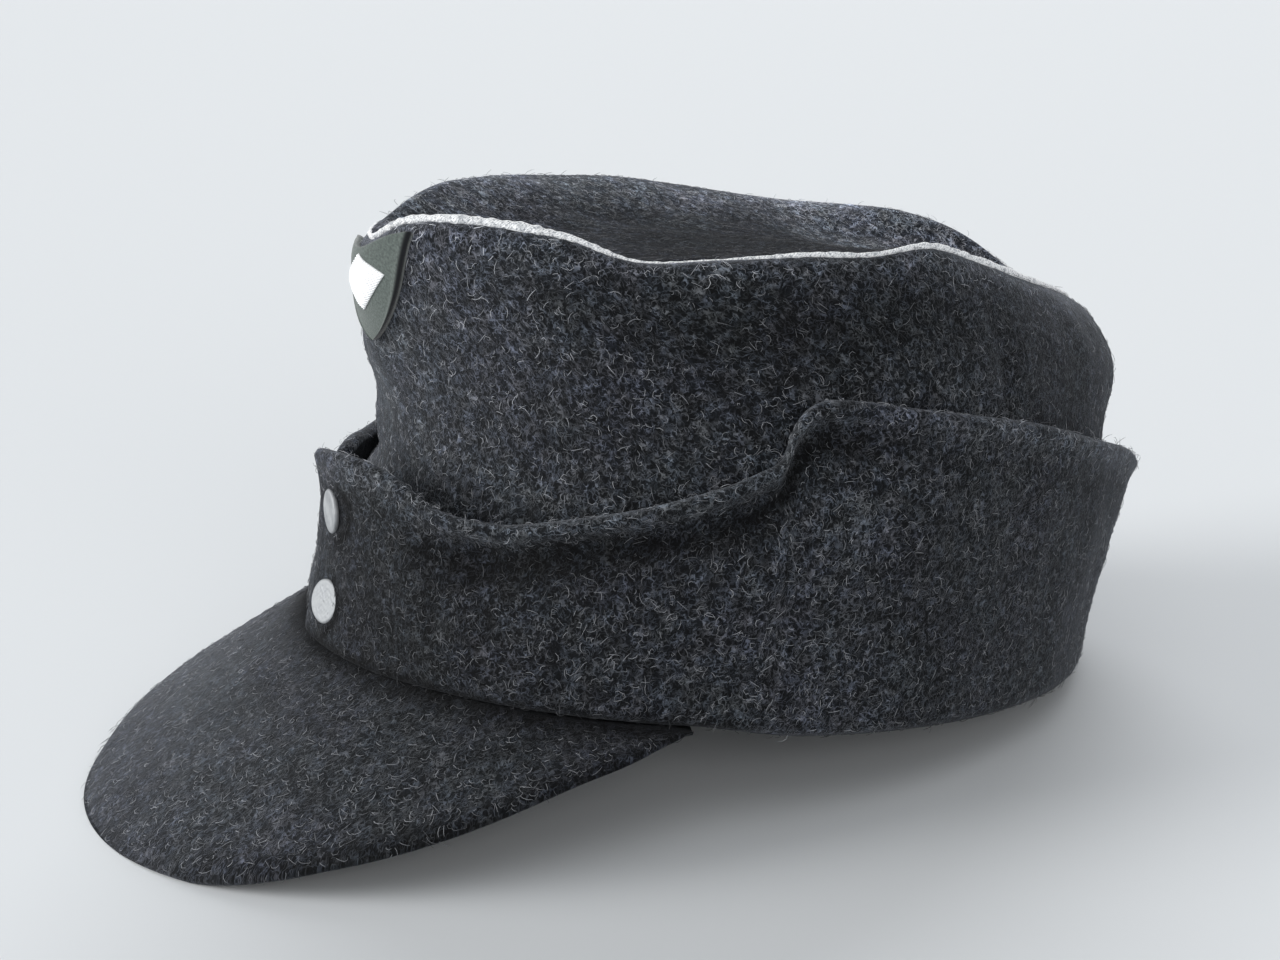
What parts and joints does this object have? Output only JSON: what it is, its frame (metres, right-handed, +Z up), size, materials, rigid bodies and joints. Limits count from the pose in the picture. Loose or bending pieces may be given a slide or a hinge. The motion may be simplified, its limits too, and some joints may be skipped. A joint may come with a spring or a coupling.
{
  "type": "wool field cap",
  "caption": "Soft wool field cap with a tall hollow crown, pale piping round its top seam, a deep turn-up closed by two buttons in front, a plain cloth badge and a sloping stiff peak",
  "frame": {"origin": "on the surface the cap rests on, under the middle of its outline", "axes": "+Z up from that surface, the peak towards -Y, the wearer's left towards +X"},
  "size_m": [0.1742, 0.2834, 0.1355],
  "materials": {
    "wool": "milled charcoal blue-grey wool with short pale curly fibres",
    "piping": "silver-white twisted cord",
    "badge_cloth": "fine grey-green felt",
    "badge_thread": "pale satin-stitched thread",
    "button_metal": "matt pebbled silver-grey metal"
  },
  "bodies": {
    "root": {"crown_side": "wool", "crown_top": "wool", "crown_piping": "piping", "turn_up": "wool", "peak": "wool", "badge_backing": "badge_cloth", "badge_motif": "badge_thread", "button_lower": "button_metal", "button_upper": "button_metal"}
  },
  "joints": []
}
